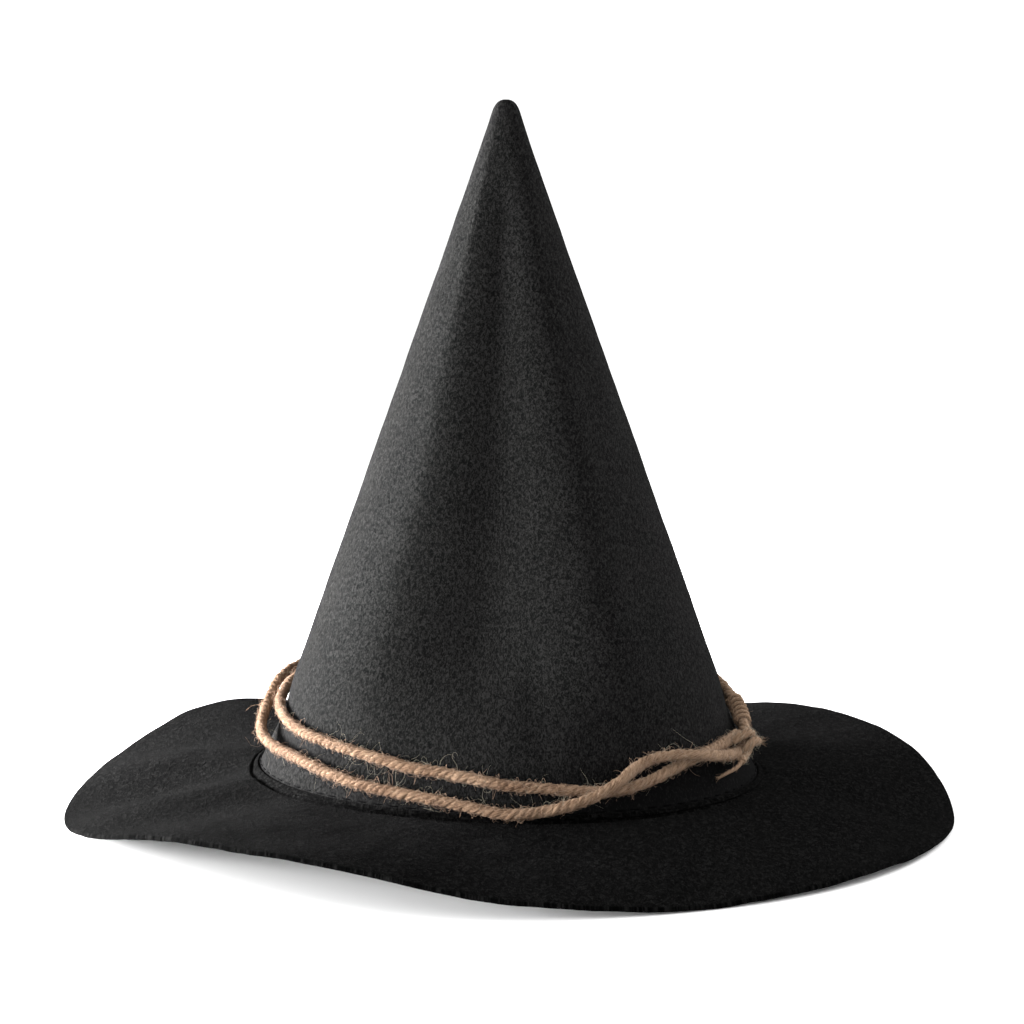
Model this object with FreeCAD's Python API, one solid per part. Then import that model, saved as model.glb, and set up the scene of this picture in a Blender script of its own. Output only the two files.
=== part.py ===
"""A felt witch hat: a cone-shaped crown, a wavy brim, and jute twine wound twice round the crown's foot.

The origin is the centre of the head opening, at the level of the seam between crown and brim, +Z is up and
-Y is the front. An angle is in degrees from the front, and grows towards +X.
"""

import FreeCAD, Part
import math
import os

Vector = FreeCAD.Vector

# Driving dimensions, in mm.
FELT = 2.0                  # thickness of the crown's and the brim's felt
FIT_GAP = 0.05              # between layers that are sewn together
HEAD_RADIUS = 90.4          # head opening, for a head of 57 cm
BAND_THICKNESS = 0.7
BAND_GAP = 0.2              # between the sweatband and what lies behind it
BAND_BOTTOM = -2.0
COLLAR_TOP = 3.0            # the sweatband is a true cylinder up to here, then follows the cone
BAND_TOP = 28.0

CONE_RADIUS = 95.8          # radius of the crown's straight side, carried down to height 0
CONE_SLOPE = 0.3557         # radius lost per mm of height
FOOT_FLARE = 1.9            # the crown opens out by this much at its foot
FLARE_HEIGHT = 10.0
WAIST = 1.2                 # the twine draws the felt in by this much
WAIST_HEIGHT = 22.0
WAIST_SPREAD = 9.0
TIP_SWELL = 0.8             # the felt is a little fuller near the tip
TIP_SWELL_HEIGHT = 12.0
TIP_HEIGHT = 260.4
# The hollow down the crown's front: depth as a share of the crown's radius, middle and half width, low and high.
HOLLOW = ((0.21, -7.0, 23.0), (0.17, -3.0, 19.0))
CROWN_HEIGHTS = (4, 8, 15, 22, 30, 42, 60, 85, 115, 150, 185, 215, 238, 250)
TIP_ROUND = ((6.0, 4.4), (5.3, 1.4), (3.3, 0.1), (1.2, 0.0))          # radius, drop below the top
INNER_TIP_ROUND = ((4.6, 9.4), (2.6, 7.9), (1.2, 7.6))                # the same for the inside

SEAM_TILT = 2.0             # the seam rises and falls by this much as it goes round
SEAM_HIGH_ANGLE = -60.0
BRIM_WIDTH = 76.4           # along the felt, from the crown's foot to the edge
# Height of the brim's upper edge every 22.5 degrees, from the front towards +X.
EDGE_HEIGHTS = (-10, -15.5, -14, -14.5, -15, -3, 1, -8, -15.5, -6.5, 2, -9.5, -15.5, -10.5, 0.5, 0.5)
BRIM_CURVE = 1.15           # above 1 the brim leaves the crown flatter than it ends
BRIM_STATIONS = (0.0, 0.12, 0.25, 0.4, 0.55, 0.7, 0.85, 1.0)
ALLOWANCE_TOP = 14.0        # the brim's turned-up allowance inside the crown

WELT_WIDTH = 1.8
WELT_HEIGHT = 1.9
WELT_GAP = 0.25

THREAD = 0.5
BASE_STITCHES = 84
BASE_STITCH_LENGTH = 4.6
BAND_STITCHES = 80
BAND_STITCH_LENGTH = 4.2
BAND_STITCH_HEIGHT = 6.0
BACK_STITCH_LENGTH = 5.2
BACK_STITCH_PITCH = 7.0
BACK_STITCH_LEAN = 35.0
BACK_SEAM_BOTTOM = 14.0
BACK_SEAM_TOP = 244.0

LABEL_ANGLE = 16.0          # how much of the circle the label covers
LABEL_BOTTOM = 7.0
LABEL_TOP = 23.0
LABEL_THICKNESS = 0.35

TWINE = 4.8
KNOT_ANGLE = 71.0
KNOT_HEIGHT = 16.0
KNOT_STAND_OFF = 6.2
KNOT_SIZE = (6.5, 5.2, 6.6)                   # half sizes along the crown, away from it, and up
FRONT_TAIL_DIAMETER = 3.2
REAR_TAIL_DIAMETER = 2.2

# The twine's route: angle, height, and how far its middle stands off the crown. It leaves the knot, makes
# two turns by the front, the wearer's right and the back, and comes back to the knot.
TWINE_ROUTE = (
    (74, 18.4, 3.8), (67, 18.0, 3.3), (59, 17.4, 3.3), (50, 16.4, 3.3), (42, 14.4, 3.3), (34, 11.2, 3.2),
    (26, 9.2, 3.2), (18, 10.0, 3.2), (9, 11.9, 3.4), (-1, 13.2, 3.5), (-11, 16.4, 3.5), (-22, 17.6, 3.6),
    (-34, 20.4, 3.6), (-46, 22.2, 3.7), (-59, 23.4, 3.7), (-72, 24.8, 3.7), (-84, 28.2, 3.7), (-96, 32.0, 3.4),
    (-108, 33.4, 3.5), (-124, 33.6, 4.0), (-144, 34.6, 4.5), (-165, 36.0, 4.6), (174, 36.2, 4.6), (153, 34.2, 4.5),
    (134, 31.4, 4.2), (117, 28.4, 4.0), (102, 24.2, 3.8), (90, 18.6, 3.5), (80, 13.8, 3.5), (70, 12.6, 3.6),
    (61, 14.4, 5.6), (53, 17.0, 9.0), (45, 19.4, 8.6), (38, 19.9, 5.0), (31, 17.6, 4.8), (25, 13.6, 8.6),
    (17, 8.2, 8.8), (9, 4.7, 6.2), (0, 3.4, 6.4), (-9, 6.4, 4.6), (-20, 8.5, 4.0), (-32, 9.8, 3.9),
    (-44, 12.2, 4.2), (-57, 15.0, 4.6), (-71, 15.4, 5.3), (-83, 17.4, 6.5), (-93, 23.0, 8.0), (-102, 31.0, 9.4),
    (-112, 38.6, 8.8), (-126, 41.8, 4.8), (-145, 42.4, 4.5), (-166, 43.2, 4.6), (173, 43.4, 4.6), (152, 42.0, 4.5),
    (133, 39.4, 4.2), (116, 35.8, 4.1), (102, 31.4, 4.0), (91, 26.0, 4.0), (83, 21.4, 4.4),
    (76, 18.6, 6.0),
)
FRONT_TAIL = ((72, 15.6, 7.4), (76, 15.2, 9.0), (79.5, 14.8, 9.8))
REAR_TAIL = ((69, 12.4, 7.0), (62, 9.0, 6.4), (54, 7.4, 4.4))

AROUND = 64                                   # control points round each ring
# A ring's control points lie this much further out than the curve that they make.
RING_GAIN = 3.0 / (2.0 + math.cos(2.0 * math.pi / AROUND))


def polar(angle, radius, height):
    turn = math.radians(angle)
    return Vector(radius * math.sin(turn), -radius * math.cos(turn), height)


def ease(value, low, high):
    """0 below low, 1 above high, and a smooth step between."""
    share = min(max((value - low) / (high - low), 0.0), 1.0)
    return share * share * (3.0 - 2.0 * share)


def bump(angle, centre, width):
    """1 at the centre angle, falling smoothly to 0 on both sides."""
    away = (angle - centre + 180.0) % 360.0 - 180.0
    return math.exp(-(away / width) ** 2)


def seam_height(angle):
    return SEAM_TILT * math.cos(math.radians(angle - SEAM_HIGH_ANGLE)) - 0.2 * SEAM_TILT


def cone_radius(height):
    flare = FOOT_FLARE * math.exp(-height / FLARE_HEIGHT)
    waist = WAIST * math.exp(-((height - WAIST_HEIGHT) / WAIST_SPREAD) ** 2)
    swell = TIP_SWELL * math.exp((height - TIP_HEIGHT) / TIP_SWELL_HEIGHT)
    return CONE_RADIUS - CONE_SLOPE * height + flare - waist + swell


def crown_radius(angle, height):
    """The crown's outside: the cone, with a hollow down its front between two soft ridges."""
    share = ease(height, 22, 62) * (1.0 - ease(height, 205, 256))
    rise = ease(height, 30, 130)
    depth, middle, spread = (low + (high - low) * rise for low, high in zip(*HOLLOW))
    hollow = -depth * cone_radius(height) * bump(angle, middle, spread)
    ridges = 0.9 * bump(angle, -36, 9) + (2.4 - 1.7 * rise) * bump(angle, 31, 11)
    buckle = -1.4 * bump(angle, 9, 5) * ease(height, 18, 32) * (1.0 - ease(height, 45, 75))
    return cone_radius(height) + share * (hollow + ridges) + buckle


def edge_height(angle):
    """The brim's edge: the stated heights, joined by a smooth periodic curve."""
    count = len(EDGE_HEIGHTS)
    place = (angle % 360.0) / 360.0 * count
    low = int(place) % count
    share = place - int(place)
    before, start, end, after = (EDGE_HEIGHTS[(low + step) % count] for step in (-1, 0, 1, 2))
    bend = (2 * before - 5 * start + 4 * end - after) * share ** 2
    twist = (3 * start - before - 3 * end + after) * share ** 3
    return start + 0.5 * ((end - before) * share + bend + twist)


def brim_top(angle, share):
    """Radius and height of the brim's upper face, from the crown's foot (0) to the edge (1)."""
    foot = seam_height(angle)
    drop = edge_height(angle) - foot
    reach = math.sqrt(BRIM_WIDTH ** 2 - drop ** 2)
    return cone_radius(foot) + reach * share, foot + drop * share ** BRIM_CURVE


def ring(place):
    """Control points of one closed ring: place(angle) gives its radius and height."""
    points = []
    for index in range(AROUND):
        angle = 360.0 * index / AROUND
        radius, height = place(angle)
        points.append(polar(angle, radius * RING_GAIN, height))
    return points


def ring_face(rings):
    """A smooth face, closed round the axis, that runs through a row of rings."""
    degree = min(3, len(rings) - 1)
    spans = len(rings) - degree
    poles = [[points[index] for points in rings] for index in range(AROUND)]
    ends = [degree + 1] + [1] * (spans - 1) + [degree + 1]
    surface = Part.BSplineSurface()
    surface.buildFromPolesMultsKnots(poles, [1] * (AROUND + 1), ends, list(range(AROUND + 1)),
                                     list(range(spans + 1)), True, False, 3, degree)
    return surface.toShape()


def disc(points):
    """The flat face inside a level ring."""
    curve = Part.BSplineCurve()
    curve.buildFromPolesMultsKnots(points, [1] * (AROUND + 1), list(range(AROUND + 1)), True, 3)
    return Part.Face(Part.Wire(curve.toShape()))


def closed_solid(faces):
    shell = Part.makeShell(faces)
    shell.sewShape(1e-3)
    solid = Part.makeSolid(shell)
    if solid.Volume < 0:
        solid.reverse()
    return solid


def ring_solid(outer, inner):
    """A closed ring of felt between two rows of rings."""
    return closed_solid([ring_face(outer), ring_face(inner), ring_face([outer[0], inner[0]]),
                         ring_face([outer[-1], inner[-1]])])


def felt_across():
    """The felt's thickness, measured level through the crown's slanting wall."""
    return FELT * math.hypot(1.0, CONE_SLOPE)


def make_crown():
    outer = [ring(lambda angle: (cone_radius(seam_height(angle)), seam_height(angle)))]
    inner = [ring(lambda angle: (cone_radius(seam_height(angle) + 1.2) - felt_across(), seam_height(angle) + 1.2))]
    for height in CROWN_HEIGHTS:
        outer.append(ring(lambda angle: (crown_radius(angle, height), height)))
        if height < TIP_HEIGHT - 12:
            inner.append(ring(lambda angle: (crown_radius(angle, height) - felt_across(), height)))
    for radius, drop in TIP_ROUND:
        outer.append(ring(lambda angle: (radius, TIP_HEIGHT - drop)))
    for radius, drop in INNER_TIP_ROUND:
        inner.append(ring(lambda angle: (radius, TIP_HEIGHT - drop)))
    faces = [ring_face(outer), ring_face(inner), ring_face([outer[0], inner[0]]), disc(outer[-1]), disc(inner[-1])]
    return closed_solid(faces)


def allowance_radius(height):
    """Outside of the brim's turned-up allowance, just inside the crown's wall."""
    return cone_radius(height) - felt_across() - FIT_GAP


def make_brim():
    upper = []
    lower = []
    for height in (ALLOWANCE_TOP, 9.0, 5.5):
        upper.append(ring(lambda angle: (allowance_radius(height), height)))
        lower.append(ring(lambda angle: (allowance_radius(height) - felt_across(), height)))
    upper.append(ring(lambda angle: (allowance_radius(2.8 + seam_height(angle) / 2), 2.8 + seam_height(angle) / 2)))
    upper.append(ring(lambda angle: (allowance_radius(seam_height(angle)) - 0.9, seam_height(angle) - 0.5)))
    lower.append(ring(lambda angle: (allowance_radius(0) - felt_across() - 0.2, seam_height(angle) / 2)))
    lower.append(ring(lambda angle: (allowance_radius(0) - felt_across() + 0.6, seam_height(angle) - FELT - 0.6)))
    for share in BRIM_STATIONS:
        upper.append(ring(lambda angle: (brim_top(angle, share)[0], brim_top(angle, share)[1] - FIT_GAP)))
        lower.append(ring(lambda angle: (brim_top(angle, share)[0], brim_top(angle, share)[1] - FIT_GAP - FELT)))
    return ring_solid(upper, lower)


def make_seam_welt():
    def at(out, up):
        return ring(lambda angle: (cone_radius(seam_height(angle) + up) + WELT_GAP + out,
                                   seam_height(angle) + FIT_GAP + up))
    round_side = [at(0, 0), at(WELT_WIDTH, 0), at(WELT_WIDTH * 1.15, WELT_HEIGHT / 2), at(WELT_WIDTH, WELT_HEIGHT),
                  at(0, WELT_HEIGHT)]
    crown_side = [at(0, 0), at(0, WELT_HEIGHT)]
    return closed_solid([ring_face(round_side), ring_face(crown_side)])


def band_radius(height):
    """Inside of the sweatband."""
    if height <= COLLAR_TOP:
        return HEAD_RADIUS
    return min(HEAD_RADIUS, allowance_radius(height) - felt_across() - BAND_GAP - BAND_THICKNESS)


def turned(profile, start, sweep):
    """A closed outline of (radius, height) points, turned about the hat's axis."""
    outline = [polar(start, radius, height) for radius, height in profile]
    face = Part.Face(Part.makePolygon(outline + outline[:1]))
    return face.revolve(Vector(0, 0, 0), Vector(0, 0, 1), sweep)


def make_sweatband():
    heights = (BAND_BOTTOM, COLLAR_TOP, BAND_STITCH_HEIGHT, 9.0, 13.0, 18.0, 23.0, BAND_TOP)
    inside = [(band_radius(height), height) for height in heights]
    outside = [(radius + BAND_THICKNESS, height) for radius, height in reversed(inside)]
    return turned(inside + outside, 0.0, 360.0)


def make_care_label():
    heights = (LABEL_BOTTOM, 9.0, 13.0, 18.0, LABEL_TOP)
    outside = [(band_radius(height) - FIT_GAP, height) for height in heights]
    inside = [(radius - LABEL_THICKNESS, height) for radius, height in reversed(outside)]
    return turned(outside + inside, 180.0 - LABEL_ANGLE / 2, LABEL_ANGLE)


def stitch(middle, along, length):
    """One visible stitch: a short thread with round ends, centred on a point."""
    radius = THREAD / 2
    end = length / 2
    dip = radius * (1 - math.sqrt(0.5))
    rise = Part.Arc(Vector(-end, 0, 0), Vector(dip - end, radius - dip, 0), Vector(radius - end, radius, 0))
    side = Part.LineSegment(Vector(radius - end, radius, 0), Vector(end - radius, radius, 0))
    fall = Part.Arc(Vector(end - radius, radius, 0), Vector(end - dip, radius - dip, 0), Vector(end, 0, 0))
    axis = Part.LineSegment(Vector(end, 0, 0), Vector(-end, 0, 0))
    outline = Part.Wire([line.toShape() for line in (rise, side, fall, axis)])
    thread = Part.Face(outline).revolve(Vector(0, 0, 0), Vector(1, 0, 0), 360)
    thread.Placement = FreeCAD.Placement(middle, FreeCAD.Rotation(Vector(1, 0, 0), along))
    return thread


def level_stitches(count, length, place):
    """Stitches that run round the hat: place(angle) gives radius and height."""
    stitches = []
    half = 180.0 / count * 0.4
    for index in range(count):
        angle = 360.0 * index / count
        radius, height = place(angle)
        along = polar(angle + half, *place(angle + half)) - polar(angle - half, *place(angle - half))
        stitches.append(stitch(polar(angle, radius, height), along, length))
    return Part.Compound(stitches)


def make_base_stitches():
    """Thread in the groove between the crown and the welt."""
    def groove(angle):
        height = seam_height(angle) + WELT_HEIGHT + 0.44
        return cone_radius(height) + 0.15, height
    return level_stitches(BASE_STITCHES, BASE_STITCH_LENGTH, groove)


def make_band_stitches():
    height = BAND_STITCH_HEIGHT
    return level_stitches(BAND_STITCHES, BAND_STITCH_LENGTH, lambda angle: (band_radius(height), height))


def make_back_seam_stitches():
    """Slanting stitches across the crown's closed edges, down the back."""
    stitches = []
    height = BACK_SEAM_BOTTOM
    lean = BACK_STITCH_LEAN
    while height < BACK_SEAM_TOP:
        middle = polar(180.0, crown_radius(180.0, height), height)
        up = Vector(0, -CONE_SLOPE, 1).normalize()
        turn = math.radians(lean)
        along = Vector(math.cos(turn), 0, 0) + up * math.sin(turn)
        shrink = min(1.0, crown_radius(180.0, height) / 20.0)
        stitches.append(stitch(middle, along, BACK_STITCH_LENGTH * shrink))
        height += BACK_STITCH_PITCH
        lean = -lean
    return Part.Compound(stitches)


def off_crown(angle, height, stand_off):
    """A point that stands off the crown's wall."""
    lean = math.hypot(1.0, CONE_SLOPE)
    return polar(angle, crown_radius(angle, height) + stand_off * lean, height)


def rounded_path(points, name):
    """Straight runs joined by tangent arcs, each as large as its two runs allow."""
    edges = []
    radii = []
    last = points[0]
    for before, corner, after in zip(points, points[1:], points[2:]):
        arriving = (corner - before).normalize()
        leaving = (after - corner).normalize()
        half_turn = arriving.getAngle(leaving) / 2
        reach = 0.45 * min((corner - before).Length, (after - corner).Length)
        start = corner - arriving * reach
        end = corner + leaving * reach
        radius = reach / math.tan(half_turn)
        inward = (leaving - arriving).normalize()
        middle = corner + inward * (radius / math.cos(half_turn) - radius)
        edges.append(Part.LineSegment(last, start).toShape())
        edges.append(Part.Arc(start, middle, end).toShape())
        radii.append(radius)
        last = end
    edges.append(Part.LineSegment(last, points[-1]).toShape())
    wire = Part.Wire(edges)
    print(name, "length", round(wire.Length, 1), "arc radii", [round(radius) for radius in radii])
    return wire


def tube(route, diameter, name):
    points = [off_crown(*place) for place in route]
    path = rounded_path(points, name)
    circle = Part.Circle(points[0], points[1] - points[0], diameter / 2)
    solid = path.makePipeShell([Part.Wire(circle.toShape())], True, False)
    print(name, "volume over section times length", solid.Volume / (math.pi * diameter ** 2 / 4 * path.Length))
    return solid


def make_twine_knot():
    along, out, up = KNOT_SIZE
    ball = Part.makeSphere(1.0)
    stretch = FreeCAD.Matrix()
    stretch.scale(Vector(along, out, up))
    knot = ball.transformGeometry(stretch)
    knot.rotate(Vector(0, 0, 0), Vector(0, 0, 1), KNOT_ANGLE)
    knot.translate(off_crown(KNOT_ANGLE, KNOT_HEIGHT, KNOT_STAND_OFF))
    return knot


def main():
    os.makedirs("parts", exist_ok=True)
    pieces = {
        "crown": make_crown(),
        "brim": make_brim(),
        "seam_welt": make_seam_welt(),
        "sweatband": make_sweatband(),
        "care_label": make_care_label(),
        "base_stitches": make_base_stitches(),
        "sweatband_stitches": make_band_stitches(),
        "back_seam_stitches": make_back_seam_stitches(),
        "twine_band": tube(TWINE_ROUTE, TWINE, "twine_band"),
        "twine_knot": make_twine_knot(),
        "twine_tail_front": tube(FRONT_TAIL, FRONT_TAIL_DIAMETER, "twine_tail_front"),
        "twine_tail_rear": tube(REAR_TAIL, REAR_TAIL_DIAMETER, "twine_tail_rear"),
    }
    for name, shape in pieces.items():
        box = shape.BoundBox
        print(f"{name:20s} solids {len(shape.Solids)} valid {shape.isValid()} volume {shape.Volume:9.1f} "
              f"z {box.ZMin:7.2f} {box.ZMax:7.2f} x {box.XMin:7.1f} {box.XMax:7.1f}")
        shape.exportStep(os.path.join("parts", name + ".step"))


main()
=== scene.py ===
import math

import bpy
import numpy as np
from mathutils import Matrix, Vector, noise


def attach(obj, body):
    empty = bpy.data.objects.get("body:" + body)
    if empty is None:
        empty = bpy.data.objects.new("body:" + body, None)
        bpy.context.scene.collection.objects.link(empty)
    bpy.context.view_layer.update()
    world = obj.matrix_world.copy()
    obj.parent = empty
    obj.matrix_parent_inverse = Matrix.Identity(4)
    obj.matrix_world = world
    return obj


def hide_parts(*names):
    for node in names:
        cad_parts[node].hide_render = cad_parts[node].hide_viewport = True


# The looks of a felt witch hat with jute twine wound round the foot of its crown.
# Lengths are in metres. An angle is in degrees from the front (-Y), and grows towards +X.

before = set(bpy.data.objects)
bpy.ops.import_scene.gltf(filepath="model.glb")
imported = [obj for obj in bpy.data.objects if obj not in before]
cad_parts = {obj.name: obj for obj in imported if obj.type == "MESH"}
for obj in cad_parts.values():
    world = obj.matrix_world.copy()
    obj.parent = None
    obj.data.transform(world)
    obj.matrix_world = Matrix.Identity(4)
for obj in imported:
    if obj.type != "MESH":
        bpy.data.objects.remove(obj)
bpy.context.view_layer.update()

# The hat's shape, with the CAD model's values.
FELT = 0.002
CONE_RADIUS = 0.0958            # of the crown's straight side, carried down to height 0
CONE_SLOPE = 0.3557             # radius lost per metre of height
LEAN = math.hypot(1.0, CONE_SLOPE)
FELT_ACROSS = FELT * LEAN       # the felt's thickness, measured level through the crown's slanting wall
FOOT_FLARE = 0.0019
FLARE_HEIGHT = 0.010
WAIST = 0.0012
WAIST_HEIGHT = 0.022
WAIST_SPREAD = 0.009
TIP_SWELL = 0.0008
TIP_SWELL_HEIGHT = 0.012
TIP_HEIGHT = 0.2604
INNER_TIP_HEIGHT = 0.2528
# The hollow down the crown's front: depth as a share of the crown's radius, middle and half width, low down
# and high up.
HOLLOW = ((0.21, -7.0, 23.0), (0.17, -3.0, 19.0))
SEAM_TILT = 0.002
SEAM_HIGH_ANGLE = -60.0
SEAM_DROP = 0.0004
BRIM_WIDTH = 0.0764
BRIM_CURVE = 1.15
ALLOWANCE_TOP = 0.0140          # of the brim's turned-up allowance inside the crown
FIT_GAP = 0.00005               # between layers that are sewn together
# Height of the brim's upper edge every 22.5 degrees, from the front towards +X.
EDGE_HEIGHTS = np.array((-10, -15.5, -14, -14.5, -15, -3, 1, -8,
                         -15.5, -6.5, 2, -9.5, -15.5, -10.5, 0.5, 0.5)) / 1000
HEAD_RADIUS = 0.0904
BAND_THICKNESS = 0.0007
BAND_GAP = 0.0002               # between the sweatband and what lies behind it
BAND_BOTTOM = -0.0020
BAND_TOP = 0.0280
COLLAR_TOP = 0.0030             # the sweatband is a true cylinder up to here, then follows the cone
WELT_GAP = 0.00025
WELT_WIDTH = 0.0018
WELT_HEIGHT = 0.0019

# What only this script needs.
FOOT_RADIUS = 0.0978            # of the crown at its foot, where the flat brim begins
BAND_RIBS = 560
# The label ends 0.2 degrees and 0.2 mm inside the CAD one.
LABEL_START = 172.2
LABEL_END = 187.8
LABEL_BOTTOM = 0.0072
LABEL_TOP = 0.0228

# The stitches.
THREAD_RADIUS = 0.00025
BASE_STITCHES = 84
BASE_STITCH_LENGTH = 0.0046
BAND_STITCHES = 80
BAND_STITCH_LENGTH = 0.0042
BAND_STITCH_HEIGHT = 0.0060
BACK_STITCH_LENGTH = 0.0052
BACK_STITCH_PITCH = 0.007
BACK_STITCH_LEAN = 35.0
BACK_SEAM_BOTTOM = 0.014
BACK_SEAM_TOP = 0.244

# The twine.
TWINE = 0.0048
TWINE_LAY = 0.0084              # how far along the strand a ply goes round once
PLIES = 3
KNOT_ANGLE = 71.0
KNOT_HEIGHT = 0.0160
KNOT_STAND_OFF = 0.0062
KNOT_LAY = 0.0080

# The twine's route: angle, height, and how far its middle stands off the crown. Most of it is the CAD model's
# route. At the left, where the turns pass behind the crown, and on the second turn's way round the back to
# the knot it lies up to 5 mm away from that, which is nearer to the picture.
TWINE_ROUTE = (
    (74, .0184, .0038), (67, .0180, .0033), (59, .0174, .0033), (50, .0164, .0033), (42, .0144, .0033),
    (34, .0112, .0032), (26, .0092, .0032), (18, .0100, .0032), (9, .0119, .0034), (-1, .0132, .0035),
    (-11, .0164, .0035), (-22, .0176, .0036), (-34, .0204, .0036), (-46, .0222, .0037), (-59, .0234, .0037),
    (-72, .0250, .0032), (-84, .0268, .0030), (-93, .0288, .0026), (-102, .0312, .0025), (-114, .0324, .0027),
    (-129, .0334, .0036), (-147, .0346, .0042), (-165, .0360, .0046), (174, .0362, .0046),
    (153, .0342, .0045),
    (134, .0314, .0042), (117, .0284, .0040), (102, .0242, .0038), (90, .0186, .0035), (80, .0138, .0035),
    (70, .0126, .0036), (61, .0144, .0056), (53, .0170, .0090), (45, .0194, .0086), (38, .0199, .0050),
    (31, .0176, .0048), (25, .0136, .0086), (17, .0082, .0088), (9, .0047, .0062), (0, .0034, .0064),
    (-9, .0064, .0046), (-20, .0085, .0040), (-32, .0098, .0039), (-44, .0122, .0042), (-57, .0150, .0046),
    (-71, .0154, .0055), (-83, .0174, .0070), (-92, .0222, .0072), (-98, .0262, .0076), (-103, .0304, .0082),
    (-108, .0322, .0080), (-114, .0336, .0076), (-122, .0360, .0060), (-134, .0392, .0050),
    (-147, .0418, .0045),
    (-166, .0432, .0046), (173, .0424, .0046), (152, .0400, .0045), (133, .0362, .0042), (116, .0316, .0041),
    (102, .0272, .0040), (91, .0236, .0042), (83, .0200, .0046), (76, .0178, .0060),
)
# The knot's two passes and its ends, in mm along the crown, away from it and up, from the knot's middle.
KNOT_OVER = (
    (-6.0, -2.8, 1.9), (-4.2, 0.4, 3.9), (-0.6, 2.6, 4.7), (2.8, 2.6, 2.6), (3.6, 1.4, -1.6),
    (1.6, -0.8, -4.6), (-2.0, -0.2, -4.4), (-3.8, 2.2, -1.4), (-2.2, 4.1, 1.4), (1.2, 4.2, 1.2),
    (4.2, 3.6, 0.2), (8.4, 3.0, -0.8),
)
KNOT_UNDER = (
    (9.0, -2.3, 5.6), (6.2, -1.2, 4.2), (3.4, 1.0, 1.9), (0.6, 2.6, -0.6), (-2.6, 2.2, -3.0),
    (-5.2, 1.6, -4.2), (-8.6, 1.7, -5.2),
)
FRONT_TAIL = ((4.2, 3.6, 0.2), (8.6, 3.0, -0.8), (13.6, 2.9, -1.3))
REAR_TAIL = ((-5.2, 1.6, -4.2), (-9.8, 1.7, -5.5), (-15.5, 1.5, -6.8), (-27.5, -2.6, -8.4))

rng = np.random.default_rng(23)


def ease(value, low, high):
    """0 below low, 1 above high, and a smooth step between."""
    share = np.clip((value - low) / (high - low), 0.0, 1.0)
    return share * share * (3.0 - 2.0 * share)


def bump(angle, centre, width):
    """1 at the centre angle, falling smoothly to 0 on both sides."""
    away = (angle - centre + 180.0) % 360.0 - 180.0
    return np.exp(-(away / width) ** 2)


def polar(angle, radius, height):
    """Points with a last axis of x, y, z."""
    turn = np.radians(angle)
    radius, height, turn = np.broadcast_arrays(radius, height, turn)
    return np.stack([radius * np.sin(turn), -radius * np.cos(turn), height], axis=-1)


def seam_height(angle):
    return SEAM_TILT * np.cos(np.radians(angle - SEAM_HIGH_ANGLE)) - SEAM_DROP


def cone_radius(height):
    flare = FOOT_FLARE * np.exp(-height / FLARE_HEIGHT)
    waist = WAIST * np.exp(-((height - WAIST_HEIGHT) / WAIST_SPREAD) ** 2)
    swell = TIP_SWELL * np.exp((height - TIP_HEIGHT) / TIP_SWELL_HEIGHT)
    return CONE_RADIUS - CONE_SLOPE * height + flare - waist + swell


def crown_radius(angle, height):
    """The crown's outside: the cone, with a hollow down its front between two soft ridges."""
    share = ease(height, 0.022, 0.062) * (1.0 - ease(height, 0.205, 0.256))
    rise = ease(height, 0.030, 0.130)
    depth, middle, spread = (low + (high - low) * rise for low, high in zip(*HOLLOW))
    hollow = -depth * cone_radius(height) * bump(angle, middle, spread)
    ridges = 0.0009 * bump(angle, -36, 9) + (0.0024 - 0.0017 * rise) * bump(angle, 31, 11)
    buckle = -0.0014 * bump(angle, 9, 5) * ease(height, 0.018, 0.032) * (1.0 - ease(height, 0.045, 0.075))
    return cone_radius(height) + share * (hollow + ridges) + buckle


def edge_height(angle):
    """The brim's edge: the stated heights, joined by a smooth periodic curve."""
    count = len(EDGE_HEIGHTS)
    place = (angle % 360.0) / 360.0 * count
    low = np.floor(place).astype(int)
    share = place - low
    before, start, end, after = (EDGE_HEIGHTS[(low + step) % count] for step in (-1, 0, 1, 2))
    bend = (2 * before - 5 * start + 4 * end - after) * share ** 2
    twist = (3 * start - before - 3 * end + after) * share ** 3
    return start + 0.5 * ((end - before) * share + bend + twist)


def off_crown(angle, height, stand_off):
    """Points that stand off the crown's wall."""
    return polar(angle, crown_radius(angle, height) + stand_off * LEAN, height)


def to_crown(point):
    """The direction from a point of the twine in towards the crown."""
    level = np.array([-point[0], -point[1], 0.0])
    return level / np.linalg.norm(level)


def rough(points, size, octaves):
    """Smooth noise from about -1 to 1 at each point, with lumps of about that size."""
    flat = points.reshape(-1, 3) / size
    values = [noise.fractal(Vector(place), 0.6, 2.0, octaves, noise_basis="PERLIN_ORIGINAL")
              for place in flat.tolist()]
    return np.array(values).reshape(points.shape[:-1])


def around_angles(count, extra=()):
    angles = np.concatenate([np.arange(count) * 360.0 / count, np.asarray(extra, dtype=float) % 360.0])
    return np.unique(np.round(angles, 4))


def close_round(angles):
    """The same angles with the first one again, a full turn on."""
    return np.append(angles, angles[0] + 360.0)


# Mesh making.

def link_mesh(name, vertices, faces, flat=None):
    """A smooth-shaded piece. flat gives each face corner's place on the flat cloth or along the strand."""
    mesh = bpy.data.meshes.new(name)
    mesh.from_pydata(vertices.tolist(), [], faces)
    if flat is not None:
        layer = mesh.uv_layers.new(name="flat")
        layer.data.foreach_set("uv", flat.ravel())
    mesh.shade_smooth()
    piece = bpy.data.objects.new(name, mesh)
    bpy.context.scene.collection.objects.link(piece)
    return piece


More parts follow.
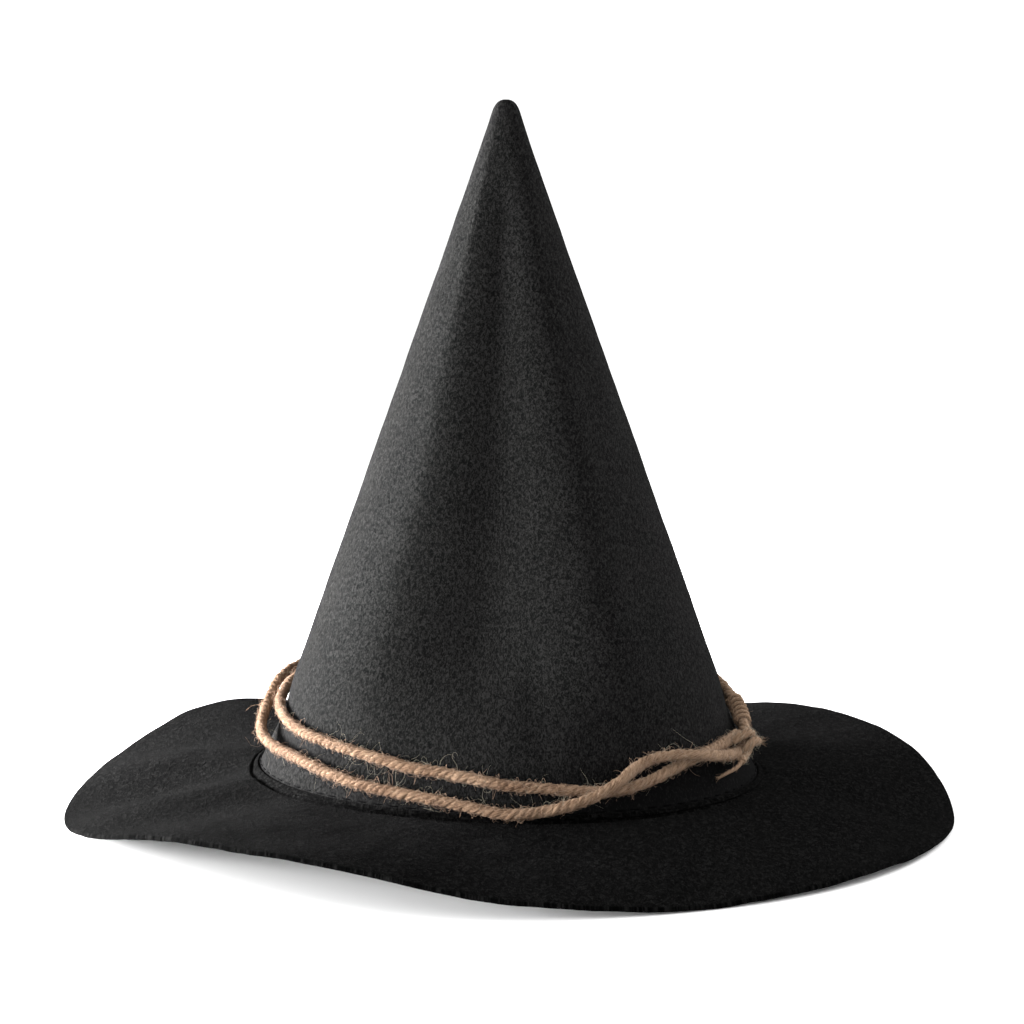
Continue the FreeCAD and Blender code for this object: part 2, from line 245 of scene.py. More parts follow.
def grid_piece(name, points, flat, wrap=True):
    """A closed skin of rows of points, whose last row joins the first. wrap closes each row as well.

    flat gives each point's place on the flat cloth, with one more column than points if the rows are closed.
    """
    rows, columns = points.shape[:2]
    left = np.arange(columns if wrap else columns - 1)
    right = (left + 1) % columns
    above = np.arange(rows)
    below = (above + 1) % rows
    corners = np.stack([
        above[:, None] * columns + left[None, :],
        above[:, None] * columns + right[None, :],
        below[:, None] * columns + right[None, :],
        below[:, None] * columns + left[None, :],
    ], axis=-1).reshape(-1, 4)
    next_row = np.minimum(above + 1, rows - 1)
    places = [flat[r[:, None], c[None, :]]
              for r, c in ((above, left), (above, left + 1), (next_row, left + 1), (next_row, left))]
    vertices = points.reshape(-1, 3)
    a, b, c, d = (vertices[corners[:, i]] for i in range(4))
    volume = np.einsum("ij,ij->", a, np.cross(b, c)) + np.einsum("ij,ij->", a, np.cross(c, d))
    if volume < 0:
        corners = corners[:, ::-1]
        places = places[::-1]
    return link_mesh(name, vertices, corners.tolist(), np.stack(places, axis=2))


def join_grids(name, grids, grooves=None):
    """One mesh of many closed tubes: each grid is rows of points, closed round and capped at both ends.

    grooves gives each tube's distances along the strand, and a shift that sets it apart from the others.
    """
    vertices = []
    faces = []
    places = []
    base = 0
    for index, points in enumerate(grids):
        rows, columns = points.shape[:2]
        left = np.arange(columns)
        right = (left + 1) % columns
        above = np.arange(rows - 1)[:, None] * columns
        quads = np.stack([above + left, above + right, above + columns + right, above + columns + left],
                         axis=-1).reshape(-1, 4) + base
        faces.extend(quads.tolist())
        faces.append([base + i for i in range(columns)][::-1])
        faces.append([base + (rows - 1) * columns + i for i in range(columns)])
        vertices.append(points.reshape(-1, 3))
        if grooves is not None:
            along, shift = grooves[index]
            wide = np.arange(columns + 1) / columns
            grid = np.stack(np.broadcast_arrays(along[:, None], wide[None, :] + shift), axis=-1)
            r = np.arange(rows - 1)[:, None]
            corners = [grid[r, left], grid[r, left + 1], grid[r + 1, left + 1], grid[r + 1, left]]
            ends = np.repeat(np.array([[along[0], shift], [along[-1], shift]]), columns, axis=0)
            places.append(np.stack(corners, axis=2).reshape(-1, 2))
            places.append(ends)
        base += rows * columns
    return link_mesh(name, np.concatenate(vertices), faces, np.concatenate(places) if places else None)


# Paths and strands.

def read_line(points):
    """The points along a smooth curve that has a route's points as its control points."""
    data = bpy.data.curves.new("route", "CURVE")
    data.dimensions = "3D"
    data.resolution_u = 24
    spline = data.splines.new("NURBS")
    spline.points.add(len(points) - 1)
    for place, point in zip(spline.points, points):
        place.co = (*point, 1.0)
    spline.order_u = 3
    spline.use_endpoint_u = True
    curve = bpy.data.objects.new("route", data)
    bpy.context.scene.collection.objects.link(curve)
    bpy.context.view_layer.update()
    mesh = bpy.data.meshes.new_from_object(curve)
    line = np.array([vertex.co for vertex in mesh.vertices])
    bpy.data.meshes.remove(mesh)
    bpy.data.objects.remove(curve)
    bpy.data.curves.remove(data)
    return line


class Path:
    """A line with a frame that doesn't twist, read at any distance along it."""

    def __init__(self, line):
        steps = np.linalg.norm(np.diff(line, axis=0), axis=1)
        keep = np.concatenate([[True], steps > 1e-7])
        line = line[keep]
        self.distance = np.concatenate([[0.0], np.cumsum(np.linalg.norm(np.diff(line, axis=0), axis=1))])
        self.length = self.distance[-1]
        self.line = line
        tangent = np.gradient(line, self.distance, axis=0)
        tangent /= np.linalg.norm(tangent, axis=1)[:, None]
        side = np.empty_like(tangent)
        start = np.cross(tangent[0], (0.0, 0.0, 1.0))
        side[0] = start / np.linalg.norm(start)
        for i in range(1, len(line)):
            moved = side[i - 1] - tangent[i] * side[i - 1].dot(tangent[i])
            side[i] = moved / np.linalg.norm(moved)
        self.tangent = tangent
        self.side = side
        self.up = np.cross(tangent, side)

    def at(self, distance):
        def read(values):
            return np.stack([np.interp(distance, self.distance, values[:, i]) for i in range(3)], axis=-1)
        return read(self.line), read(self.tangent), read(self.side), read(self.up)


def tube(points, radius, sides):
    """Rings of points round a row of centres. radius is one number per ring, or one per point of it."""
    path = Path(points)
    around = np.arange(sides) / sides * 2 * math.pi
    radius = radius.reshape(-1, 1) if radius.ndim < 2 else radius
    across = path.side[:, None, :] * (np.cos(around) * radius)[..., None]
    upward = path.up[:, None, :] * (np.sin(around) * radius)[..., None]
    return path.line[:, None, :] + across + upward


def twisted(path, diameter, lay, step=0.0006, sides=18, start=0.0, taper=0.0):
    """The plies of a laid strand that follows a path: grids of points, and how far along it each ring is.

    The plies wander round the path, lie looser and tighter, and swell in slubs. taper is how much of its
    thickness a ply has lost at the end.
    """
    rings = max(8, int(path.length / step))
    distance = np.linspace(0.0, path.length, rings)
    centre, _, side, up = path.at(distance)
    grids = []
    grooves = []
    wander = np.cumsum(rng.normal(0.0, 0.055, rings))
    wander -= np.linspace(0.0, wander[-1], rings)
    loose = 1.0 + 0.06 * np.sin(distance / 0.021 + start) + 0.05 * np.sin(distance / 0.0083 + 2.0 * start)
    around = np.arange(sides) / sides * 2 * math.pi
    twirl = distance / lay * 2 * math.pi * 0.6
    for ply in range(PLIES):
        angle = start + 2 * math.pi * (ply / PLIES - distance / lay) + wander
        spread = 0.155 * diameter * loose
        middle = centre + (side * np.cos(angle)[:, None] + up * np.sin(angle)[:, None]) * spread[:, None]
        slubs = rough(np.stack([distance * 95.0, 0 * distance + 3.0 * ply, 0 * distance], axis=-1), 1.0, 2)
        thick = 0.28 * diameter * (1.0 + 0.20 * slubs)
        if taper:
            thick = thick * (1.0 - taper * ease(distance, 0.5 * path.length, path.length))
        spots = np.stack(np.broadcast_arrays(
            np.cos(around[None, :] + twirl[:, None]) * 1.35 + 7.0 * ply,
            np.sin(around[None, :] + twirl[:, None]) * 1.35,
            distance[:, None] * 110.0), axis=-1)
        uneven = 0.22 * rough(spots, 0.9, 1) + 0.28 * rough(spots + 5.0, 0.36, 2)
        grids.append(tube(middle, thick[:, None] * (1.0 + uneven), sides))
        grooves.append((distance, 3.1 * ply))
    return grids, grooves


def add_fibre(fibres, points, width):
    """Adds a three-sided tube, unless two of its points nearly meet."""
    if np.min(np.linalg.norm(np.diff(points, axis=0), axis=1)) > 1e-5:
        fibres.append(tube(points, width, 3))


def stray_fibres(path, count, radius, reach, long, thick, pieces):
    """Thin fibres that leave a strand's surface and lean along it, except where it faces the crown."""
    fibres = []
    share = np.linspace(0.0, 1.0, pieces)
    while len(fibres) < count:
        begin = rng.uniform(0.0, path.length)
        angle = rng.uniform(0.0, 2 * math.pi)
        centre, _, side, up = path.at(np.array([begin]))
        outward = side[0] * math.cos(angle) + up[0] * math.sin(angle)
        if outward.dot(to_crown(centre[0])) > 0.35:
            continue
        size = long * rng.lognormal(-0.2, 0.5)
        rise = reach * rng.lognormal(-0.7, 0.7)
        ahead = rng.choice((-1.0, 1.0)) * size * rng.uniform(0.35, 0.95)
        loop = rng.random() < 0.4
        height = np.sin(share * math.pi) if loop else share ** rng.uniform(0.8, 2.0)
        turn = angle + rng.normal(0.0, 0.9) * share + rng.normal(0.0, 0.5) * share ** 2
        centre, _, side, up = path.at(np.clip(begin + ahead * share, 0.0, path.length))
        direction = side * np.cos(turn)[:, None] + up * np.sin(turn)[:, None]
        points = centre + direction * (radius * 0.93 + rise * height)[:, None]
        points += rng.normal(0.0, 0.07 * size / pieces, points.shape) * share[:, None]
        width = thick * rng.uniform(0.6, 1.25) * (1.0 - 0.55 * share)
        add_fibre(fibres, points, width)
    return fibres


def curly_hairs(path, count, radius, pick):
    """Loose hairs that curl away from a strand and lie over the felt. pick() gives an angle round the hat."""
    pieces = 17
    share = np.linspace(0.0, 1.0, pieces)
    line = path.line
    around = np.degrees(np.arctan2(line[:, 0], -line[:, 1]))
    hairs = []
    while len(hairs) < count:
        near = np.flatnonzero(np.abs((around - pick() + 180.0) % 360.0 - 180.0) < 2.0)
        if not len(near):
            continue
        start = line[rng.choice(near)]
        reach = math.hypot(start[0], start[1])
        angle = math.degrees(math.atan2(start[0], -start[1]))
        off = (reach - crown_radius(angle, start[2])) / LEAN
        length = 0.0068 * rng.lognormal(0.0, 0.45)
        step = length / (pieces - 1)
        heading = rng.choice((-1.0, 1.0)) * math.pi / 2 + rng.normal(0.0, 0.7)
        bend = rng.normal(0.0, 420.0) + np.cumsum(rng.normal(0.0, 210.0, pieces))
        heading = heading + np.cumsum(bend) * step
        across = np.concatenate([[0.0], np.cumsum(np.cos(heading[1:]))]) * step
        climb = np.concatenate([[0.0], np.cumsum(np.sin(heading[1:]))]) * step
        height = start[2] + math.copysign(0.6 * radius, math.sin(heading[0])) + climb
        settle = ease(share, 0.0, 0.6)
        lift = off * (1.0 - settle) + settle * rng.uniform(0.0004, 0.0022) + 0.0012 * np.sin(share * math.pi)
        angles = angle + np.degrees(across / reach)
        height = np.maximum(height, seam_height(angles) + 0.0028)
        points = off_crown(angles, height, np.maximum(lift, 0.0003))
        width = 0.000027 * rng.uniform(0.65, 1.3) * (1.0 - 0.5 * share)
        add_fibre(hairs, points, width)
    return hairs


# Materials.

class Nodes:
    """A small helper that adds nodes to one material and links them."""

    def __init__(self, name):
        self.material = bpy.data.materials.new(name)
        self.material.use_nodes = True
        self.tree = self.material.node_tree
        self.shader = self.tree.nodes["Principled BSDF"]

    def add(self, kind, settings=None, **inputs):
        node = self.tree.nodes.new(kind)
        for key, value in (settings or {}).items():
            setattr(node, key, value)
        for key, value in inputs.items():
            self.put(node.inputs[key.replace("_", " ")], value)
        return node

    def put(self, socket, value):
        if isinstance(value, bpy.types.NodeSocket):
            self.tree.links.new(value, socket)
        else:
            socket.default_value = value

    def place(self, scale, source="UV"):
        """Coordinates on the cloth or in space, times a scale along each axis."""
        if source == "UV":
            start = self.add("ShaderNodeUVMap", {"uv_map": "flat"}).outputs["UV"]
        else:
            start = self.add("ShaderNodeTexCoord").outputs["Object"]
        return self.add("ShaderNodeMapping", Vector=start, Scale=scale).outputs["Vector"]

    def noise(self, where, detail, roughness=0.55, distortion=0.0):
        node = self.add("ShaderNodeTexNoise", Vector=where, Scale=1.0, Detail=detail, Roughness=roughness,
                        Distortion=distortion)
        return node.outputs["Fac"]

    def ramp(self, value, stops):
        node = self.add("ShaderNodeValToRGB", Fac=value)
        ramp = node.color_ramp
        while len(ramp.elements) < len(stops):
            ramp.elements.new(0.5)
        for element, (place, colour) in zip(ramp.elements, stops):
            element.position = place
            element.color = (*colour, 1.0)
        return node.outputs["Color"]

    def math(self, how, a, b):
        node = self.add("ShaderNodeMath", {"operation": how})
        self.put(node.inputs[0], a)
        self.put(node.inputs[1], b)
        return node.outputs["Value"]

    def mix(self, share, a, b):
        node = self.add("ShaderNodeMix", {"data_type": "RGBA"})
        self.put(node.inputs[0], share)
        self.put(node.inputs[6], a)
        self.put(node.inputs[7], b)
        return node.outputs[2]

    def bumps(self, layers):
        """Stacks bump maps: (height, strength, distance) from the coarsest to the finest."""
        normal = None
        for height, strength, distance in layers:
            node = self.add("ShaderNodeBump", Strength=strength, Distance=distance, Height=height)
            if normal is not None:
                self.put(node.inputs["Normal"], normal)
            normal = node.outputs["Normal"]
        self.put(self.shader.inputs["Normal"], normal)

    def surface(self, colour, roughness, specular, sheen=0.0, sheen_roughness=0.5, sheen_tint=(1, 1, 1)):
        self.put(self.shader.inputs["Base Color"], colour)
        self.put(self.shader.inputs["Roughness"], roughness)
        self.shader.inputs["Specular IOR Level"].default_value = specular
        self.shader.inputs["Sheen Weight"].default_value = sheen
        self.shader.inputs["Sheen Roughness"].default_value = sheen_roughness
        self.shader.inputs["Sheen Tint"].default_value = (*sheen_tint, 1.0)
        return self.material


def felt_material(name, tones, nap_size, relief, sheen, foot=0.0):
    """Brushed wool felt: a nap of short streaks over finer fibres. tones are dark, middle and light.

    foot is how much darker the felt is low down at the right. It is a painted tone, not a feature of the
    felt: it stands for the deep shade under the twine there, which these lamps leave too light.
    """
    n = Nodes(name)
    nap = n.noise(n.place((*nap_size, 1.0)), detail=3.0, roughness=0.6, distortion=0.9)
    fine = n.noise(n.place((nap_size[0] * 2.6, nap_size[1] * 2.4, 1.0)), detail=2.0, roughness=0.6)
    patch = n.noise(n.place((70.0, 45.0, 1.0)), detail=4.0, roughness=0.55)
    streak = n.math("ADD", n.math("MULTIPLY", nap, 0.6), n.math("MULTIPLY", fine, 0.4))
    level = n.math("ADD", n.math("MULTIPLY", streak, 0.94), n.math("MULTIPLY", patch, 0.06))
    if foot:
        place = n.add("ShaderNodeSeparateXYZ", Vector=n.place((1.0, 1.0, 1.0), "Object"))
        low = n.add("ShaderNodeMapRange", Value=place.outputs["Z"], From_Min=0.011, From_Max=0.021,
                    To_Min=foot, To_Max=0.0)
        right = n.add("ShaderNodeMapRange", Value=place.outputs["X"], From_Min=-0.005, From_Max=0.045)
        shade = n.math("MULTIPLY", low.outputs["Result"], right.outputs["Result"])
        level = n.math("SUBTRACT", level, shade)
    dark, middle, light = tones
    colour = n.ramp(level, [(0.425, (dark * 0.97, dark * 0.97, dark)),
                            (0.50, (middle, middle * 0.985, middle * 0.975)),
                            (0.585, (light, light * 0.985, light * 0.965))])
    n.bumps([(patch, 0.12, 0.0008), (nap, relief, 0.0005), (fine, relief, 0.00022)])
    return n.surface(colour, 0.95, specular=0.0, sheen=sheen, sheen_roughness=0.6)


def jute_material(name, tones):
    """Spun plant fibre, with streaks that run along the strand. tones are dark, middle and light.

    The tone also grows lighter towards +X. This is painted light and shade: the twine is painted darker
    on its lamp-lit left and lighter on its shaded right, which evens out the lamps from the left.
    """
    n = Nodes(name)
    strand = n.noise(n.place((150.0, 9.0, 1.0)), detail=4.0, roughness=0.65, distortion=0.3)
    hair = n.noise(n.place((300.0, 30.0, 1.0)), detail=3.0, roughness=0.65)
    body = n.noise(n.place((90.0, 90.0, 90.0), "Object"), detail=2.0)
    level = n.math("ADD", n.math("MULTIPLY", strand, 0.40),
                   n.math("ADD", n.math("MULTIPLY", hair, 0.45), n.math("MULTIPLY", body, 0.15)))
    # Painted light and shade: the tone grows lighter towards +X, darker on the lamp-lit left and lighter on
    # the shaded right.
    place = n.add("ShaderNodeSeparateXYZ", Vector=n.place((1.0, 1.0, 1.0), "Object"))
    level = n.math("ADD", level, n.math("MULTIPLY", place.outputs["X"], 0.62))
    colour = n.ramp(level, list(zip((0.41, 0.50, 0.59), tones)))
    n.bumps([(strand, 0.7, 0.0004), (hair, 0.8, 0.0002)])
    return n.surface(colour, 0.9, specular=0.03, sheen=0.03, sheen_tint=(1.0, 0.94, 0.86))


def ribbon_material():
    n = Nodes("ribbon")
    cross = n.noise(n.place((900.0, 900.0, 1.0)), detail=2.0)
    patch = n.noise(n.place((60.0, 60.0, 1.0)), detail=2.0)
    level = n.math("ADD", n.math("MULTIPLY", cross, 0.6), n.math("MULTIPLY", patch, 0.4))
    colour = n.ramp(level, [(0.35, (0.008, 0.008, 0.009)), (0.65, (0.022, 0.022, 0.024))])
    n.bumps([(cross, 0.4, 0.0001)])
    return n.surface(colour, 0.5, specular=0.4, sheen=0.1)


def label_material():
    n = Nodes("label")
    where = n.place((1.0, 1.0, 1.0))
    warp = n.add("ShaderNodeTexWave", {"bands_direction": "X"}, Vector=where, Scale=700.0).outputs["Fac"]
    weft = n.add("ShaderNodeTexWave", {"bands_direction": "Y"}, Vector=where, Scale=500.0).outputs["Fac"]
    weave = n.math("MAXIMUM", warp, weft)
    patch = n.noise(n.place((120.0, 120.0, 1.0)), detail=2.0)
    tone = n.ramp(patch, [(0.3, (0.60, 0.58, 0.54)), (0.7, (0.74, 0.72, 0.68))])
    colour = n.mix(n.math("MULTIPLY", weave, 0.25), tone, (0.82, 0.80, 0.76, 1.0))
    n.bumps([(weave, 0.4, 0.00012)])
    return n.surface(colour, 0.6, specular=0.3, sheen=0.1)


def thread_material():
    n = Nodes("thread")
    fine = n.noise(n.place((2500.0, 2500.0, 2500.0), "Object"), detail=2.0)
    colour = n.ramp(fine, [(0.35, (0.0006, 0.0006, 0.0007)), (0.65, (0.0022, 0.0022, 0.0024))])
    n.bumps([(fine, 0.3, 0.00006)])
    return n.surface(colour, 0.8, specular=0.01)


# The felt pieces.

def cloth_from_cone(angle, height):
    """Where a point of the crown lies on the flat sector that the cone is rolled from."""
    slant = (CONE_RADIUS / CONE_SLOPE - height) * LEAN
    turn = np.radians((angle + 180.0) % 360.0 - 180.0) * CONE_SLOPE / LEAN
    return np.stack([slant * np.sin(turn), -slant * np.cos(turn)], axis=-1)


def tip_share(depth, size, blunt):
    """How wide the rounded tip is at a depth below its top, as a share of the cone there."""
    left = 1.0 - np.clip(depth / size, 0.0, 1.0)
    return np.maximum(1.0 - left ** blunt, 0.0) ** 0.42


def crown_detail(angle, height):
    """What the soft felt adds to the plain shape."""
    share = ease(height, 0.070, 0.120) * (1.0 - ease(height, 0.150, 0.235))
    deeper = -0.0008 * share * bump(angle, -2, 12)
    sharper = 0.0005 * share * bump(angle, -29, 7)
    from_back = (angle % 360.0) - 180.0
    across = np.radians(from_back) * cone_radius(height)
    groove = -0.00045 * np.exp(-(across / 0.0009) ** 2)
    puff = 0.00035 * np.exp(-((np.abs(across) - 0.0032) / 0.0022) ** 2)
    steeper = 0.0018 * bump(angle, 32, 11) * ease(height, 0.030, 0.060) * (1.0 - ease(height, 0.120, 0.190))
    return deeper + sharper + steeper + (groove + puff) * ease(height, 0.0, 0.012)


def make_crown():
    near = np.array([0.15, 0.3, 0.5, 0.7, 0.95, 1.25, 1.6, 2.0, 2.5, 3.1, 4.0, 5.0])
    angles = around_angles(288, np.concatenate([180.0 + near, 180.0 - near]))
    closed = close_round(angles)
    seam = seam_height(angles)
    top = TIP_HEIGHT - np.array([0.0104, 0.0092, 0.0080, 0.0069, 0.0058, 0.0048, 0.0039, 0.0031,
                                 0.0024, 0.0018, 0.0013, 0.0009, 0.0006, 0.00035, 0.00015, 0.00004])
    low = np.concatenate([np.linspace(0.0, 0.030, 26)[:-1], np.linspace(0.030, 0.250, 150)[:-1]])
    rows = []
    flats = []
    for height in np.concatenate([low, top]):
        level = height + seam * (1.0 - ease(height, 0.0, 0.030))
        radius = crown_radius(angles, level) + crown_detail(angles, level)
        rows.append(polar(angles, radius * tip_share(TIP_HEIGHT - level, 0.0068, 4.0), level))
        flats.append(cloth_from_cone(closed, np.append(level, level[0])))
    outer = np.array(rows)
    lumps = 0.00018 * rough(outer, 0.030, 2) + 0.00008 * rough(outer, 0.008, 2)
    calm = ease(outer[..., 2], 0.0, 0.012) * (1.0 - 0.7 * ease(outer[..., 2], 0.245, 0.258))
    outer = outer + polar(angles, 1.0, 0.0)[None, :, :] * (lumps * calm)[..., None]
    inner_top = INNER_TIP_HEIGHT - np.array([0.0030, 0.0020, 0.0012, 0.0006, 0.0001])
    inside = []
    for height in np.concatenate([np.linspace(0.0, 0.2484, 60), inner_top])[::-1]:
        level = height + (seam + 0.0012) * (1.0 - ease(height, 0.0, 0.030))
        radius = crown_radius(angles, level) + crown_detail(angles, level) * 0.8 - FELT_ACROSS
        shape = tip_share(INNER_TIP_HEIGHT + 0.0001 - level, 0.0050, 3.0)
        inside.append(polar(angles, radius * shape, level))
        flats.append(cloth_from_cone(closed, np.append(level, level[0])) + (0.5, 0.0))
    foot = []
    for share, drop in ((0.75, 0.0002), (0.4, 0.0003), (0.12, 0.0002)):
        point = inside[-1] * (1.0 - share) + outer[0] * share
        point[:, 2] -= drop
        foot.append(point)
        flats.append(flats[0])
    points = np.concatenate([outer, np.array(inside), np.array(foot)[::-1]])
    return grid_piece("felt_crown", points, np.array(flats))


def brim_top(angle, share):
    """Radius and height of the brim's upper face, from the crown's foot (0) to the edge (1)."""
    foot = seam_height(angle)
    drop = edge_height(angle) - foot
    reach = np.sqrt(BRIM_WIDTH ** 2 - drop ** 2)
    return cone_radius(foot) + reach * share, foot + drop * share ** BRIM_CURVE


def brim_detail(angle, share):
    """Folds that run out from the seam, and the fine puckers beside it, as heights."""
    middle = np.sin(np.clip(share, 0.0, 1.0) * math.pi) ** 0.8
    folds = (0.0036 * bump(angle, -104, 8) - 0.0034 * bump(angle, -87, 8) + 0.0022 * bump(angle, -72, 7)
             - 0.0016 * bump(angle, -56, 8) + 0.0022 * bump(angle, 96, 9) - 0.0018 * bump(angle, 78, 8)
             + 0.0007 * bump(angle, 138, 10) - 0.0008 * bump(angle, -150, 9) + 0.0006 * bump(angle, 171, 9))
    fade = np.exp(-share / 0.16) * ease(share, 0.0, 0.03)
    left = bump(angle, -75, 38)
    turn = np.radians(angle)
    uneven = 0.55 + 0.45 * np.sin(turn * 9.0 + 1.7 * np.sin(turn * 4.0))
    puckers = 0.00030 * np.sin(turn * 41.0 + 2.6 * np.sin(turn * 6.0)) * left * uneven
    puckers += 0.00012 * np.sin(turn * 63.0 + 2.2 * np.sin(turn * 8.0 + 1.0)) * uneven
    groove = -(0.0011 - 0.0007 * bump(angle, 80, 35)) * np.exp(-((share - 0.031) / 0.010) ** 2)
    return folds * middle + puckers * fade + groove


def allowance_radius(height):
    """Outside of the brim's turned-up allowance, just inside the crown's wall."""
    return cone_radius(height) - FELT_ACROSS - FIT_GAP


def brim_profile(angles, seam):
    """The brim's section, once round it: radius, height, and distance out along the felt from the seam."""
    level = 0 * angles
    outer_fold = 0.0028 + seam / 2
    inner_fold = 0.0012 + seam * 0.75
    profile = [(allowance_radius(height) + level, height + level, -height)
               for height in (ALLOWANCE_TOP, 0.0125, 0.0110, 0.0090, 0.0072, 0.0055, 0.0042)]
    profile.append((allowance_radius(outer_fold), outer_fold, -0.0028))
    profile.append((allowance_radius(inner_fold) - 0.0002, inner_fold, -0.0012))
    profile.append((allowance_radius(seam) - 0.0009, seam - 0.0005, 0.0))
    tops = []
    for share in np.concatenate([np.linspace(0.0, 0.09, 14)[:-1], np.linspace(0.09, 0.2, 8)[:-1],
                                 np.linspace(0.2, 1.0, 34)]):
        radius, height = brim_top(angles, share)
        tops.append((radius, height + brim_detail(angles, share) - FIT_GAP, share * BRIM_WIDTH))
    profile.extend(tops)
    radius, height = tops[-1][0], tops[-1][1] - FELT / 2
    for turn in np.radians((60.0, 35.0, 12.0, -12.0, -35.0, -60.0)):
        rim = radius + 0.0009 * math.cos(turn)
        profile.append((rim, height + FELT / 2 * math.sin(turn), BRIM_WIDTH + FELT / 2))
    profile.extend((radius, height - FELT, far) for radius, height, far in tops[::-2])
    inner = allowance_radius(0.0) - FELT_ACROSS
    profile.append((inner + 0.0006 + level, seam - FELT - 0.0006, 0.0))
    profile.append((inner + 0.0001 + level, seam * 0.8 - 0.0014, -0.0006))
    profile.append((inner - 0.0002 + level, seam / 2, -0.0012))
    for height in (0.0030, 0.0055, 0.0072, 0.0090, 0.0110, 0.0125, 0.0139):
        profile.append((allowance_radius(height) - FELT_ACROSS + level, height + level, -height))
    top = ALLOWANCE_TOP + 0.0005
    profile.append((allowance_radius(top) - FELT_ACROSS * 0.5 + level, top + level, -top))
    return profile


def make_brim():
    angles = around_angles(448)
    closed = close_round(angles)
    profile = brim_profile(angles, seam_height(angles))
    points = np.array([polar(angles, radius, height) for radius, height, far in profile])
    outwards = FOOT_RADIUS + np.array([far for radius, height, far in profile])
    lumps = 0.00050 * rough(points, 0.034, 2) + 0.00014 * rough(points, 0.008, 2)
    points[..., 2] += lumps * ease(outwards, 0.100, 0.115)[:, None]
    flats = np.array([polar(closed, far, 0.0)[:, :2] for far in outwards])
    return grid_piece("felt_brim", points, flats)


def make_welt():
    """The rolled edge of felt that covers the seam, as a bead round the crown's foot."""
    angles = around_angles(504)
    closed = close_round(angles)
    seam = seam_height(angles)
    rings = []
    flats = []
    for index, turn in enumerate(np.arange(0.0, 360.0, 24.0)):
        lean = math.radians(turn)
        out = 0.5 * WELT_WIDTH * (1.05 + math.cos(lean) * 1.05)
        up = 0.5 * WELT_HEIGHT * (1.0 + math.sin(lean) * 0.97)
        pinch = 1.0 + 0.05 * np.sin(np.radians(angles) * BASE_STITCHES) * (1.0 + math.sin(lean)) * 0.5
        radius = cone_radius(seam + up) + WELT_GAP + out * pinch
        rings.append(polar(angles, radius, seam + 0.00008 + up))
        across = np.full(len(closed), 0.3 + index * 0.0004)
        flats.append(np.stack([np.radians(closed) * 0.098, across], axis=-1))
    rings = np.array(rings)
    rings += polar(angles, 1.0, 0.0)[None] * (0.00010 * rough(rings, 0.005, 2))[..., None]
    return grid_piece("felt_welt", rings, np.array(flats))


# The ribbon, the label and the stitches.

def band_radius(height):
    """Inside of the sweatband."""
    lining = allowance_radius(height) - FELT_ACROSS - BAND_GAP
    return np.where(height <= COLLAR_TOP, HEAD_RADIUS, np.minimum(HEAD_RADIUS, lining - BAND_THICKNESS))


def make_sweatband():
    """Ribbed ribbon. Its ribs fade out at both edges."""
    angles = around_angles(BAND_RIBS * 4)
    closed = close_round(angles)
    rib = np.cos(np.radians(angles) * BAND_RIBS)
    heights = np.concatenate([[BAND_BOTTOM, -0.0019, -0.0016, -0.0010], np.linspace(0.0, 0.0256, 14),
                              [0.0268, 0.0275, 0.0279, BAND_TOP]])
    full = ease(heights, BAND_BOTTOM, -0.0014) * (1.0 - ease(heights, 0.0274, BAND_TOP))
    middle = band_radius(heights) + BAND_THICKNESS / 2
    inside = [(radius - 0.00028 - 0.00004 * (1.0 - edge) - 0.00007 * rib * edge, height)
              for radius, edge, height in zip(middle, full, heights)]
    outside = [(radius + 0.00028 + 0.00005 * rib * edge, height)
               for radius, edge, height in zip(middle, full, heights)]
    rows = inside + outside[::-1]
    points = np.array([polar(angles, radius, height) for radius, height in rows])
    flats = np.array([np.stack([np.radians(closed) * HEAD_RADIUS, np.full(len(closed), height)], axis=-1)
                      for radius, height in rows])
    return grid_piece("ribbon_sweatband", points, flats)


def make_label():
    across = np.linspace(LABEL_START, LABEL_END, 60)
    wave = np.sin((across - LABEL_START) / (LABEL_END - LABEL_START) * 2.0 * math.pi)
    outer = []
    inner = []
    flats = []
    for height in np.linspace(LABEL_BOTTOM, LABEL_TOP, 36):
        rise = math.sin((height - LABEL_BOTTOM) / (LABEL_TOP - LABEL_BOTTOM) * math.pi)
        base = band_radius(height) - 0.00008
        outer.append(polar(across, base + 0 * across, height))
        inner.append(polar(across, base - 0.00030 - np.abs(0.00012 * wave * rise), height))
        flats.append(np.stack([np.radians(across) * 0.088, np.full(len(across), height)], axis=-1))
    points = np.array(outer + inner[::-1])
    left = points[:, :1] * 0.5 + points[::-1, :1] * 0.5
    right = points[:, -1:] * 0.5 + points[::-1, -1:] * 0.5
    left += (points[:, :1] - points[:, 1:2]) * 0.3
    right += (points[:, -1:] - points[:, -2:-1]) * 0.3
    points = np.concatenate([left, points, right], axis=1)
    rows = np.array(flats + flats[::-1])
    rows = np.concatenate([rows[:, :1], rows, rows[:, -1:]], axis=1)
    return grid_piece("woven_label", points, rows, wrap=False)


def stitch(middle, along, outward, length, radius=THREAD_RADIUS):
    """A short length of two-ply thread that rises out of the felt and goes back in."""
    along = along / np.linalg.norm(along)
    outward = outward - along * outward.dot(along)
    outward = outward / np.linalg.norm(outward)
    share = np.linspace(-1.0, 1.0, 13)
    lift = radius * (0.55 - 1.5 * np.abs(share) ** 4)
    points = middle + along * (share * length / 2)[:, None] + outward * lift[:, None]
    turn = share * length / 2 / 0.0011 * 2 * math.pi
    around = np.arange(8) / 8 * 2 * math.pi
    lobes = 1.0 - 0.3 * np.sin(around[None, :] - turn[:, None]) ** 2
    narrow = 1.0 - 0.35 * np.abs(share) ** 6
    return tube(points, radius * lobes * narrow[:, None], 8)


